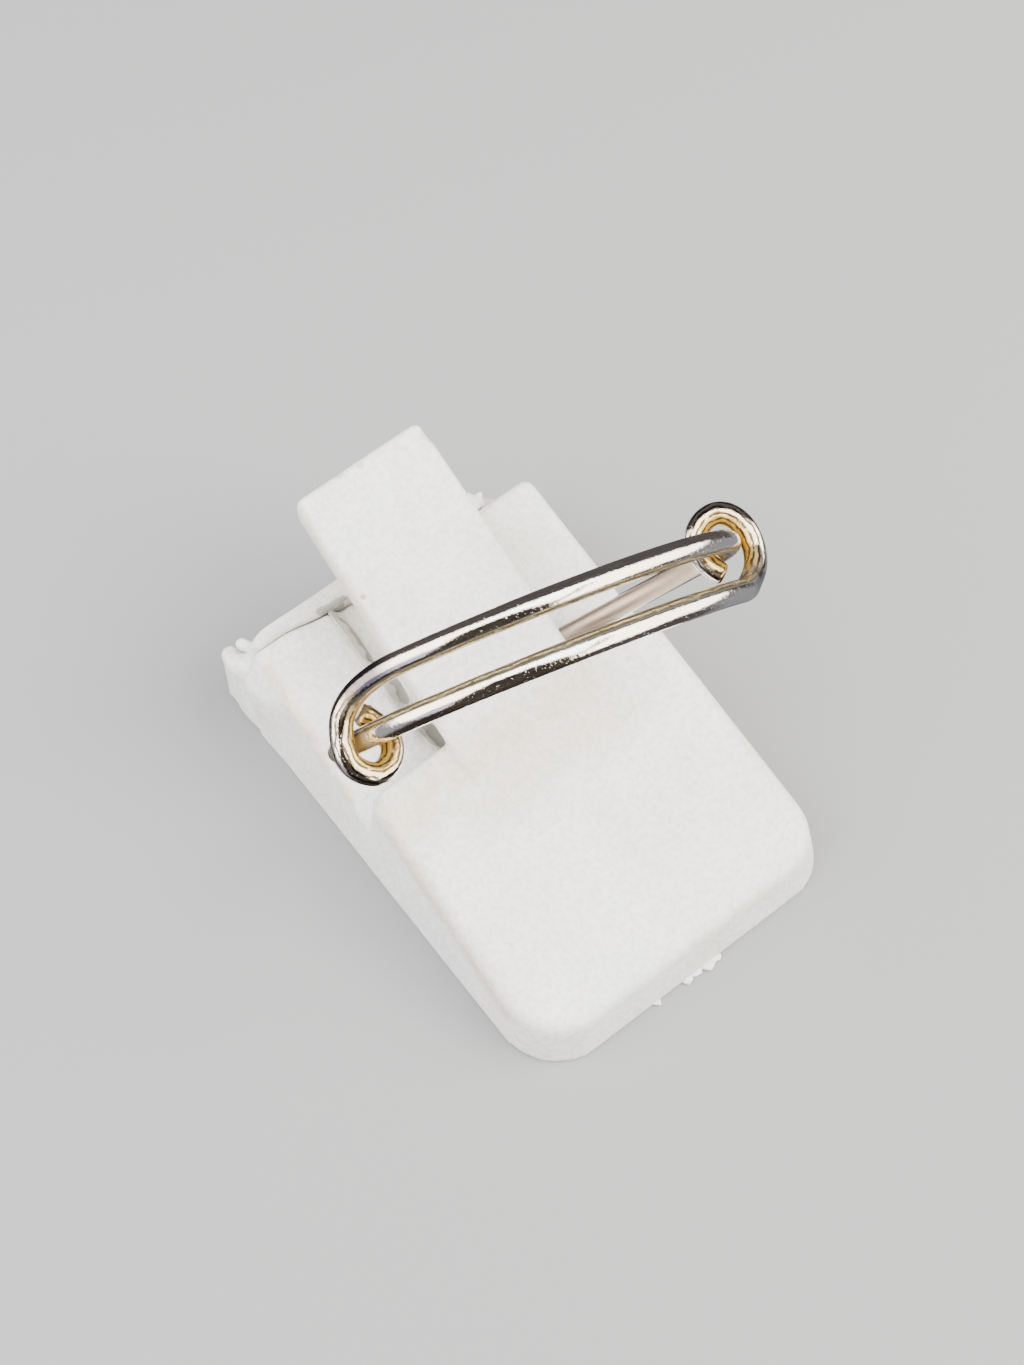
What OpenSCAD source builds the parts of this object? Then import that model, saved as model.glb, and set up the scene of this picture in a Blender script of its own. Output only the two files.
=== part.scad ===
// Silver wire ring standing in the clip of its small white display stand.
// Millimetres. X runs across the stand, Y from its thin toe to its thick back, Z up.
// The origin is the middle of the stand's flat underside.

/* [Ring] */
// Diameter of the round wire
wire_d = 1.04; // [0.8:0.02:1.06]
// Radius of the hoop at the middle of the wire
hoop_r = 9.7; // [9.5:0.1:9.8]
// How far each front bar lies from the hoop's middle plane
bar_lift = 1.15; // [1.1:0.01:1.2]
// How far the shank leans out of the middle plane at the hoop's sides
shank_lean = 1.1; // [1.05:0.01:1.15]

/* [Hooks] */
// Place on the hoop where each hook is wrapped, in degrees from the front
hook_at = 75; // [73:1:77]
// Where the front bars begin to bend into their hooks, in degrees from the front
bend_at = 50; // [46:1:54]
// From the caught strand to the hook's wire, on the hoop's outer side
loop_out = 1.14; // [1.12:0.01:1.2]
// From the caught strand to the hook's wire, on the finger's side
loop_in = 1.34; // [1.14:0.05:1.34]
// Half length of the hook's loop
loop_long = 1.58; // [1.3:0.02:1.6]
// Turn of the hook, from its outer side round to the cut end, in degrees
hook_turn = 256; // [230:2:260]
// How far the cut end lies behind the start of the loop, in degrees of the hoop
hook_pitch = 3; // [2:1:4]

/* [Ring on the stand] */
// Place of the hoop's centre across the stand
hoop_x = 0.52; // [0.48:0.02:0.56]
// Place of the hoop's centre along the stand
hoop_y = 0.2; // [0.18:0.01:0.22]
// Height of the hoop's centre
hoop_z = 14.08; // [14.06:0.01:14.1]
// Lean of the hoop towards the stand's back, in degrees
hoop_lean = 20.2; // [20:0.1:20.4]
// Lean of the hoop to one side, in degrees
hoop_side_lean = 9.8; // [9.6:0.1:10]
// Turn of the hoop about the upright, in degrees
hoop_turn = -11.1; // [-11.3:0.1:-10.9]

/* [Stand] */
// Width of the stand at its underside
base_w = 18.1; // [17.6:0.1:18.6]
// Length of the stand at its underside
base_l = 26; // [25.8:0.1:26.4]
// Radius of the left toe corner seen from above
toe_left_r = 3.2; // [2.4:0.1:3.6]
// Radius of the right toe corner seen from above
toe_right_r = 2.6; // [2.4:0.1:3.6]
// Radius of the two back corners seen from above
back_r = 0.9; // [0.7:0.1:1.1]
// Lean of the side walls, in degrees
draft = 7; // [5:0.5:8]
// Slope of the face, in degrees
face_slope = 16.6; // [16:0.1:17]
// Height of the face over the toe edge
toe_h = 2.8; // [2.6:0.1:3]
// Rounding of the face's outer edges
edge_r = 0.9; // [0.6:0.1:1]
// Distance from the toe to the step between the face and the ears
step_at = 14.4; // [14.2:0.1:14.4]
// Drop of the step, square to the face
step_h = 2.8; // [2.7:0.1:2.9]
// Rounding of the step's edge
step_r = 0.4; // [0.4:0.05:0.5]
// Distance from the toe to the ears' back edge
ear_end = 23.45; // [23.35:0.05:23.6]
// Rounding of the ears' outer edges
ear_r = 0.55; // [0.4:0.05:0.7]

/* [Tongue] */
// Half width of the tongue where it leaves the face
tongue_root_half = 3.85; // [3.7:0.05:3.9]
// Half width of the tongue at its tip
tongue_tip_half = 3.6; // [3.4:0.05:3.6]
// Slope of the tongue's top, in degrees
tongue_slope = 28.5; // [28:0.5:29]
// Distance from the toe to the line where the tongue leaves the face
tongue_from = 11.6; // [11.4:0.1:11.8]
// Distance from the toe to the tongue's tip
tongue_to = 25.55; // [25.05:0.1:25.75]
// Rounding of the tongue's top edges
tongue_top_r = 0.45; // [0.4:0.05:0.6]
// Rounding of the tongue's lower edges
tongue_low_r = 0.35; // [0.3:0.05:0.4]

/* [Recess and base] */
// Half width of the recess under the tongue
recess_half = 3.95; // [3.9:0.05:4.1]
// Depth of the recess below the ears, square to them
recess_h = 1.2; // [1:0.1:1.3]
// Thickness of the shell over the base piece
skin = 1; // [0.9:0.05:1.1]
// Thickness of the shell's side walls at the underside
side_skin = 1.6; // [1.4:0.1:1.8]
// Clearance between the shell and the base piece
seam = 0.12; // [0.08:0.01:0.15]
// Height of the base piece's back rim
rim_h = 7; // [6.8:0.05:7.1]
// Distance from the toe to the outer edge of the back rim
rim_end = 24.45; // [24.3:0.05:24.6]
// Where the back rim ends on the left
rim_left = -7.9; // [-8.1:0.1:-7.7]
// Where the back rim ends on the right
rim_right = 5.4; // [5:0.1:7.8]
// Rounding of the back rim
rim_r = 0.35; // [0.3:0.05:0.4]
// Height of the upright left back corner
lug_h = 5.2; // [4.8:0.1:5.6]
// How far the upright left back corner stands out sideways
lug_out = 0.1; // [0:0.05:0.15]
// Height of the shell's hollow at its end near the toe
hollow_toe_h = 1; // [0.8:0.1:1.2]
// Distance from the toe to the near side of the back wall
wall_from = 22.5; // [22:0.1:22.8]

/* [Hidden] */

// Sides of the wire's section
wire_sides = 16;
// Facets of a full circle in the rounded edges of the stand
round_fn = 28;
// Thickness of the sheet that stands for an outline in a hull
sheet = 0.02;
// How far a cutting solid reaches past what it cuts
past = 1;
// How much smaller a toe corner's radius is at the face than at the underside
toe_lean = 0.2;
// How far the ears' walls lie inside the walls of the thick part
ear_inset = 0.03;
// How far the ears' block reaches into the thick part
ear_overlap = 3;

// Heights of the face and of the ears' plane at a distance from the toe
function face_z(y) = toe_h + y * tan(face_slope);
function ear_z(y) = face_z(y) - step_h / cos(face_slope);
// Half width of the drafted body at a height
function half_at(z) = base_w / 2 - z * tan(draft);
// Height of the tongue's top at a distance from the toe
function tongue_z(y) = face_z(tongue_from) + (y - tongue_from) * tan(tongue_slope);

// Sections along the tongue: distance from the toe, height of the underside, half width
TONGUE_Y = 0;
TONGUE_UNDER = 1;
TONGUE_HALF = 2;
tongue_sections = [
    [tongue_from, toe_h, tongue_root_half],
    [14.9, 5.9, tongue_root_half],
    [21.2, 10.1, (tongue_root_half + tongue_tip_half) / 2],
    [tongue_to, 12.2, tongue_tip_half]
];

// A place on the hoop: turn from the front, distance from the centre, distance from the middle plane
function on_hoop(turn, reach, lift) = [reach * sin(turn), lift, reach * cos(turn)];

// Distance from the middle plane of the strand that starts as the upper bar, at a turn from the front
function strand_lift(turn) =
    turn > 90 ? shank_lean * sin(turn) : bar_lift + (shank_lean - bar_lift) * pow(max(turn, 0) / 90, 2);

// A point of a cubic curve with two end points and two handles
function cubic(a, b, c, d, t) =
    pow(1 - t, 3) * a + 3 * pow(1 - t, 2) * t * b + 3 * (1 - t) * t * t * c + t * t * t * d;

// The hook: from its cut end, behind the caught strand and round it, to the loop's outer side
hook_step = 16;
hook_rings = ceil(hook_turn / hook_step);
function hook_point(i) =
    let (around = -hook_turn * (1 - i / hook_rings),
         turn = -hook_at + hook_pitch * around / hook_turn)
    on_hoop(turn, hoop_r + (cos(around) > 0 ? loop_out : loop_in) * cos(around),
        -strand_lift(hook_at) + loop_long * sin(around));

// The bend from the hook's outer side up into the front bar: its ends and the two handles
// between them, each as [turn, reach, lift]
bend_rings = 9;
handle_lift = 0.6;
handle_turn = 9;
handle_out = 0.1;
bend_start = [-hook_at, hoop_r + loop_out, -strand_lift(hook_at)];
bend_rise = [-hook_at, hoop_r + loop_out, handle_lift];
bend_run = [-hook_at + handle_turn, hoop_r + handle_out, bar_lift];
bend_end = [-bend_at, hoop_r, bar_lift];
function bend_point(i) =
    let (p = cubic(bend_start, bend_rise, bend_run, bend_end, i / bend_rings))
    on_hoop(p[0], p[1], p[2]);

// The front bar and half of the shank behind it
bar_step = 4;
bar_rings = floor((180 + bend_at) / bar_step);
function bar_point(i) =
    let (turn = -bend_at + i * (180 + bend_at) / bar_rings)
    on_hoop(turn, hoop_r, strand_lift(turn));

// Half of the wire, and the other half, which is the same turned half way round about the front
half_wire = concat(
    [for (i = [0 : hook_rings - 1]) hook_point(i)],
    [for (i = [0 : bend_rings - 1]) bend_point(i)],
    [for (i = [0 : bar_rings]) bar_point(i)]
);
half_count = len(half_wire);
wire_path = concat(
    half_wire,
    [for (i = [half_count - 2 : -1 : 0]) [-half_wire[i][0], -half_wire[i][1], half_wire[i][2]]]
);

function unit(v) = v / norm(v);

// Direction of the wire at each point of its path
function wire_along(path) =
    let (last = len(path) - 1)
    [for (i = [0 : last]) unit(path[min(i + 1, last)] - path[max(i - 1, 0)])];

// A side direction carried along the path without twisting about it
function wire_sideways(along) =
    [for (i = 0, s = unit(cross(along[0], [0, 1, 0.3]));
          i < len(along);
          i = i + 1, s = i < len(along) ? unit(s - along[i] * (s * along[i])) : s) s];

// A round wire swept along a path, with a flat cut at both ends
module swept_wire(path, d) {
    along = wire_along(path);
    sideways = wire_sideways(along);
    rings = len(path);
    points = [for (i = [0 : rings - 1]) let (s = sideways[i], u = cross(along[i], s))
        for (k = [0 : wire_sides - 1])
            path[i] + d / 2 * (cos(k * 360 / wire_sides) * s + sin(k * 360 / wire_sides) * u)];
    walls = [for (i = [0 : rings - 2], k = [0 : wire_sides - 1]) let (next = (k + 1) % wire_sides)
        [i * wire_sides + k, (i + 1) * wire_sides + k, (i + 1) * wire_sides + next, i * wire_sides + next]];
    start_cap = [[for (k = [0 : wire_sides - 1]) k]];
    end_cap = [[for (k = [wire_sides - 1 : -1 : 0]) (rings - 1) * wire_sides + k]];
    polyhedron(points, concat(walls, start_cap, end_cap), convexity = 6);
}

// The silver ring, one wire with a hook at each end
module ring() {
    color("silver")
        translate([hoop_x, hoop_y, hoop_z])
            rotate([hoop_lean, hoop_side_lean, hoop_turn])
                swept_wire(wire_path, wire_d);
}

// Moves what is measured from the toe edge to the origin in the middle of the underside
module from_toe() {
    translate([0, -base_l / 2, 0]) children();
}

// A ball, or a ring with round edges where its plan radius is the larger, set under the sloped face
module face_corner(place, plan_r, round_r, rise) {
    translate(place)
        rotate([face_slope, 0, 0])
            translate([0, 0, rise - round_r])
                if (plan_r > round_r)
                    rotate_extrude($fn = round_fn)
                        translate([plan_r - round_r, 0]) circle(r = round_r, $fn = round_fn);
                else
                    sphere(r = round_r, $fn = round_fn);
}

// The thick part of the wedge, from the toe to the step
module face_block() {
    side_y = step_at - edge_r;
    step_y = step_at - step_r;
    hull()
        for (side = [-1, 1]) {
            corner_r = side < 0 ? toe_left_r : toe_right_r;
            toe_top_r = corner_r - toe_lean;
            toe_y = corner_r;
            translate([side * (base_w / 2 - corner_r), corner_r, 0])
                cylinder(r = corner_r, h = sheet, $fn = 2 * round_fn);
            translate([side * (base_w / 2 - step_r), step_y, 0])
                cylinder(r = step_r, h = sheet, $fn = round_fn);
            face_corner([side * (half_at(face_z(toe_y) - edge_r) - toe_top_r), toe_y, face_z(toe_y)],
                toe_top_r, edge_r, 0);
            face_corner([side * (half_at(face_z(side_y) - edge_r) - edge_r), side_y, face_z(side_y)],
                edge_r, edge_r, 0);
            face_corner([side * (half_at(face_z(step_y) - edge_r) - edge_r), step_y, face_z(step_y)],
                step_r, step_r, 0);
        }
}

// The lower part of the wedge with the ears' plane on top, grown on all sides by a clearance
module ear_block(grow) {
    r = ear_r + grow;
    hull()
        for (side = [-1, 1], y = [step_at - ear_overlap, ear_end - ear_r]) {
            translate([side * (base_w / 2 - ear_inset - ear_r), y, -grow])
                cylinder(r = r, h = sheet, $fn = round_fn);
            face_corner([side * (half_at(ear_z(y) - ear_r) - ear_inset - ear_r), y, ear_z(y)],
                r, r, grow);
        }
}

// One section of the tongue: four balls that give its edges their rounding
module tongue_section(row) {
    y = row[TONGUE_Y];
    half = row[TONGUE_HALF];
    for (side = [-1, 1]) {
        translate([side * (half - tongue_top_r), y, tongue_z(y) - tongue_top_r / cos(tongue_slope)])
            sphere(r = tongue_top_r, $fn = round_fn);
        translate([side * (half - tongue_low_r), y, row[TONGUE_UNDER] + tongue_low_r / cos(tongue_slope)])
            sphere(r = tongue_low_r, $fn = round_fn);
    }
}

// The clip tongue, thick at its root and free at its tip
module tongue() {
    for (i = [0 : len(tongue_sections) - 2])
        hull() {
            tongue_section(tongue_sections[i]);
            tongue_section(tongue_sections[i + 1]);
        }
}

// The recess under the tongue, open at the ears' back edge
module recess() {
    length = ear_end + past - step_at;
    translate([-recess_half, step_at, ear_z(step_at)])
        rotate([face_slope, 0, 0])
            translate([0, 0, -recess_h])
                cube([2 * recess_half, length / cos(face_slope) + past, recess_h + past]);
}

// Side view of the hollow in the shell, narrowed by a clearance, with Y across and Z up
module hollow_profile(inset) {
    top = ear_z(ear_end) - recess_h - skin;
    rise = tan(face_slope);
    near = ear_end - (top - hollow_toe_h) / rise;
    polygon([
        [near + inset, -past],
        [ear_end + past, -past],
        [ear_end + past, top + past * rise - inset],
        [near + inset, hollow_toe_h - inset]
    ]);
}

// The hollow or, with a clearance, the plug that fills it
module hollow(inset) {
    half = base_w / 2 - side_skin - inset;
    translate([-half, 0, 0])
        rotate([90, 0, 90])
            linear_extrude(2 * half) hollow_profile(inset);
}

// The white front of the stand: wedge face, ears and clip tongue
module stand_shell() {
    color("whitesmoke")
        from_toe() {
            difference() {
                union() {
                    difference() {
                        ear_block(0);
                        recess();
                    }
                    face_block();
                }
                hollow(0);
            }
            tongue();
        }
}

// An upright corner of the back wall at the underside
module wall_foot(side, y) {
    translate([side * (base_w / 2 - back_r), y, 0])
        cylinder(r = back_r, h = sheet, $fn = round_fn);
}

// A ball of the back wall's rim
module rim_ball(x, y, top) {
    translate([x, y, top - rim_r])
        sphere(r = rim_r, $fn = round_fn);
}

// The back wall, with its rim behind the ears and its upright left corner
module back_wall() {
    foot_y = base_l - back_r;
    rim_y = rim_end - rim_r;
    hull() {
        for (side = [-1, 1], y = [wall_from, foot_y])
            wall_foot(side, y);
        for (x = [rim_left + rim_r, rim_right - rim_r]) {
            rim_ball(x, rim_y, rim_h);
            rim_ball(x, wall_from, rim_h - 2 * rim_r);
        }
    }
    hull() {
        wall_foot(-1, foot_y);
        rim_ball(-base_w / 2 - lug_out + rim_r, foot_y, lug_h);
        rim_ball(rim_left + rim_r, rim_y, lug_h);
        rim_ball(rim_left + rim_r, wall_from, lug_h);
    }
}

// The piece that closes the shell from behind and below
module stand_base() {
    color("lightsteelblue")
        from_toe() {
            difference() {
                back_wall();
                ear_block(seam);
            }
            intersection() {
                hollow(seam);
                translate([-base_w / 2, 0, 0]) cube([base_w, ear_end + 2 * seam, rim_h]);
            }
        }
}

ring();
stand_shell();
stand_base();
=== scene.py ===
"""Silver wire ring standing in the clip of its small white display stand.

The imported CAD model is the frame. The ring is drawn again as one fine round wire, and the
stand's two mouldings are given a fine skin, so that their edges and corners flow as moulded
plastic does. Sizes in the classes are millimetres, as in the part's source, and a finished mesh
is scaled to metres once, at its end.
"""

import logging
import math
from dataclasses import dataclass, field
from enum import Enum
from typing import Iterable, Sequence, Union

import bmesh
import bpy
from mathutils import Euler, Matrix, Vector, noise
from mathutils.bvhtree import BVHTree


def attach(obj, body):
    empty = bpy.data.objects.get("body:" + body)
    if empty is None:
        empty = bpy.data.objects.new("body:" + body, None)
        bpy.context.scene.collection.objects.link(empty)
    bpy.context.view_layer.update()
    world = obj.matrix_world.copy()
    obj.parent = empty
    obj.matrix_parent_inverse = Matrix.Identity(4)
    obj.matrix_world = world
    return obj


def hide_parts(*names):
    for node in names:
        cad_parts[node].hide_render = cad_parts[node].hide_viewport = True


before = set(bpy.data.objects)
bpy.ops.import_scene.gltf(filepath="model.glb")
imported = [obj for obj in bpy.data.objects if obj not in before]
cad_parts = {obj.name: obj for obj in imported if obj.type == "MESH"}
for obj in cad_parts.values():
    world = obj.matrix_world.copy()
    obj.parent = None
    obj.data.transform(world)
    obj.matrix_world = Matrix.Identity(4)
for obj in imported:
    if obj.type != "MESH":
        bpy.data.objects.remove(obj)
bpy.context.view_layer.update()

MM = 0.001
log = logging.getLogger("ring_scene")

Socket = bpy.types.NodeSocket
Triple = tuple[float, float, float]
Fade = tuple[float, float]
Tone = Union[Triple, Socket]


# Shader graphs


class Sum(Enum):
    """What a Math node works out."""

    ADD = "ADD"
    SUBTRACT = "SUBTRACT"
    MULTIPLY = "MULTIPLY"
    MOST = "MAXIMUM"
    SIZE = "ABSOLUTE"
    FRACTION = "FRACT"
    ANGLE = "ARCTAN2"


class Value:
    """A number in a shader graph, which turns Python's operators into Math nodes."""

    def __init__(self, graph: "Graph", socket: Socket) -> None:
        """Wraps one output socket of a graph."""
        self.graph = graph
        self.socket = socket

    def __add__(self, other: "Operand") -> "Value":
        """Returns self + other."""
        return self.graph.math(Sum.ADD, self, other)

    __radd__ = __add__

    def __mul__(self, other: "Operand") -> "Value":
        """Returns self * other."""
        return self.graph.math(Sum.MULTIPLY, self, other)

    __rmul__ = __mul__

    def __sub__(self, other: "Operand") -> "Value":
        """Returns self - other."""
        return self.graph.math(Sum.SUBTRACT, self, other)

    def __rsub__(self, other: "Operand") -> "Value":
        """Returns other - self."""
        return self.graph.math(Sum.SUBTRACT, other, self)

    def most(self, other: "Operand") -> "Value":
        """Returns the larger of self and other."""
        return self.graph.math(Sum.MOST, self, other)

    def size(self) -> "Value":
        """Returns self without its sign."""
        return self.graph.math(Sum.SIZE, self)

    def fraction(self) -> "Value":
        """Returns what is left of self above the next whole number below."""
        return self.graph.math(Sum.FRACTION, self)

    def angle(self, across: "Value") -> "Value":
        """Returns the angle in radians of a point that lies self up and some way across."""
        return self.graph.math(Sum.ANGLE, self, across)

    def ramp(self, low: float, high: float) -> "Value":
        """Maps low..high smoothly onto 0..1, and stays there outside.

        Args:
            low: The value where the result is 0.
            high: The value where the result is 1. It may be below low.

        Returns:
            The mapped value.
        """
        falls = high < low
        node = self.graph.node(
            "ShaderNodeMapRange",
            {"interpolation_type": "SMOOTHSTEP"},
            {
                "Value": self,
                "From Min": min(low, high),
                "From Max": max(low, high),
                "To Min": 1.0 if falls else 0.0,
                "To Max": 0.0 if falls else 1.0,
            },
        )
        return Value(self.graph, node.outputs["Result"])


Operand = Union[Value, float]


@dataclass(frozen=True)
class Grain:
    """A soft noise: lumps to the millimetre, octaves, how much each adds, and its distortion."""

    scale: float
    detail: float = 2.0
    rough: float = 0.5
    bend: float = 0.0


class Graph:
    """Builds the node tree of one material or of the world."""

    SPOT_CORE = 0.35

    def __init__(self, tree: bpy.types.NodeTree) -> None:
        """Empties the tree that the graph is built in."""
        self.tree = tree
        tree.nodes.clear()

    def node(self, kind: str, settings: dict, inputs: dict) -> bpy.types.Node:
        """Adds a node.

        Args:
            kind: The node's type.
            settings: What is set on the node itself, before its sockets are filled.
            inputs: What goes into each socket, by name or number: a link, a Value or a constant.

        Returns:
            The new node.
        """
        made = self.tree.nodes.new(kind)
        for name, value in settings.items():
            setattr(made, name, value)
        for key, value in inputs.items():
            self.feed(made.inputs[key], value)
        return made

    def feed(self, socket: Socket, value: object) -> None:
        """Links a value into a socket, or sets it there where it is a constant.

        Args:
            socket: The socket that is fed.
            value: A Value, another socket, a number or a colour.
        """
        if isinstance(value, Value):
            value = value.socket
        if isinstance(value, Socket):
            self.tree.links.new(value, socket)
        elif isinstance(value, tuple) and len(value) == 3 and socket.type == "RGBA":
            socket.default_value = (*value, 1.0)
        else:
            socket.default_value = value

    def math(self, operation: Sum, *operands: Operand) -> Value:
        """Adds a Math node and returns its result."""
        made = self.node("ShaderNodeMath", {"operation": operation.value}, dict(enumerate(operands)))
        return Value(self, made.outputs[0])

    def place(self, turn: Triple = (0, 0, 0), scale: Triple = (1, 1, 1)) -> Socket:
        """Returns the place on the piece in millimetres, turned and then stretched.

        Args:
            turn: Turn about X, Y and Z in degrees.
            scale: Stretch along X, Y and Z after the turn.

        Returns:
            The vector socket.
        """
        at = self.node("ShaderNodeTexCoord", {}, {}).outputs["Object"]
        turned = self.node(
            "ShaderNodeMapping",
            {"vector_type": "POINT"},
            {"Vector": at, "Rotation": tuple(math.radians(a) for a in turn)},
        ).outputs[0]
        return self.stretch(turned, tuple(s / MM for s in scale))

    def stretch(self, vector: Socket, scale: Triple) -> Socket:
        """Returns a vector stretched along its axes."""
        made = self.node("ShaderNodeVectorMath", {"operation": "MULTIPLY"}, {0: vector, 1: scale})
        return made.outputs[0]

    def dot(self, vector: Socket, other: Triple) -> Value:
        """Returns the dot product of a vector with a fixed one."""
        made = self.node("ShaderNodeVectorMath", {"operation": "DOT_PRODUCT"}, {0: vector, 1: other})
        return Value(self, made.outputs["Value"])

    def spot(self, at: Socket, place: Triple, reach: float) -> Value:
        """Returns 1 at a place in millimetres, and 0 from its reach on."""
        made = self.node("ShaderNodeVectorMath", {"operation": "DISTANCE"}, {0: at, 1: place})
        return Value(self, made.outputs["Value"]).ramp(reach, reach * self.SPOT_CORE)

    def attribute(self, name: str) -> Socket:
        """Returns the vector that the piece stores under a name."""
        return self.node("ShaderNodeAttribute", {"attribute_name": name}, {}).outputs["Vector"]

    def parts(self, vector: Socket) -> tuple[Value, Value, Value]:
        """Returns the three numbers of a vector."""
        made = self.node("ShaderNodeSeparateXYZ", {}, {0: vector})
        return tuple(Value(self, s) for s in made.outputs)

    def grain(self, at: Socket, grain: Grain) -> Value:
        """Returns soft noise from 0 to 1.

        Args:
            at: The vector that it reads.
            grain: The noise's sizes.

        Returns:
            The noise.
        """
        made = self.node(
            "ShaderNodeTexNoise",
            {"noise_dimensions": "3D"},
            {
                "Vector": at,
                "Scale": grain.scale,
                "Detail": grain.detail,
                "Roughness": grain.rough,
                "Distortion": grain.bend,
            },
        )
        return Value(self, made.outputs["Fac"])

    def cells(self, at: Socket, scale: float) -> Value:
        """Returns the distance to the nearest of scattered points.

        Args:
            at: The vector that it reads.
            scale: Points to the millimetre.

        Returns:
            The distance, as a share of the points' spacing.
        """
        made = self.node(
            "ShaderNodeTexVoronoi",
            {"feature": "F1", "voronoi_dimensions": "3D"},
            {"Vector": at, "Scale": scale},
        )
        return Value(self, made.outputs["Distance"])

    def colour(self, base: Tone, over: Tone, amount: Operand) -> Socket:
        """Returns one colour laid over another.

        Args:
            base: The colour below.
            over: The colour above.
            amount: How much of it shows, from 0 to 1.

        Returns:
            The colour socket.
        """
        made = self.node(
            "ShaderNodeMix",
            {"data_type": "RGBA", "blend_type": "MIX", "clamp_factor": True},
            {0: amount, 6: base, 7: over},
        )
        return made.outputs[2]

    def relief(self, height: Value, depth: float, below: Socket | None = None) -> Socket:
        """Returns the normal of a relief.

        Args:
            height: The relief, from 0 to 1.
            depth: What 1 stands for, in millimetres.
            below: The normal that it lies on, if there is one.

        Returns:
            The normal socket.
        """
        inputs = {"Height": height, "Distance": depth * MM, "Strength": 1.0}
        if below is not None:
            inputs["Normal"] = below
        return self.node("ShaderNodeBump", {}, inputs).outputs[0]


# Finishes


@dataclass(frozen=True)
class Finish:
    """What every finish has: a name, and the constants of its shader."""

    name: str
    metallic: float = 0.0
    specular: float = 0.5

    def material(self) -> bpy.types.Material:
        """Makes the material with its node graph.

        Returns:
            The material.
        """
        made = bpy.data.materials.new(self.name)
        made.use_nodes = True
        graph = Graph(made.node_tree)
        shader = graph.node(
            "ShaderNodeBsdfPrincipled",
            {},
            {"Metallic": self.metallic, "Specular IOR Level": self.specular},
        )
        self.dress(graph, shader)
        graph.node("ShaderNodeOutputMaterial", {}, {"Surface": shader.outputs[0]})
        return made

    def dress(self, graph: Graph, shader: bpy.types.Node) -> None:
        """Feeds colour, roughness and normal. Each finish has its own."""
        raise NotImplementedError


@dataclass(frozen=True)
class Stretch:
    """A stretch of the wire, by how far from the nearer end it fades in and out."""

    fade_in: Fade
    fade_out: Fade

    def mask(self, from_end: Value) -> Value:
        """Returns 1 on the stretch and 0 off it."""
        return from_end.ramp(*self.fade_in) * from_end.ramp(*self.fade_out)


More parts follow.
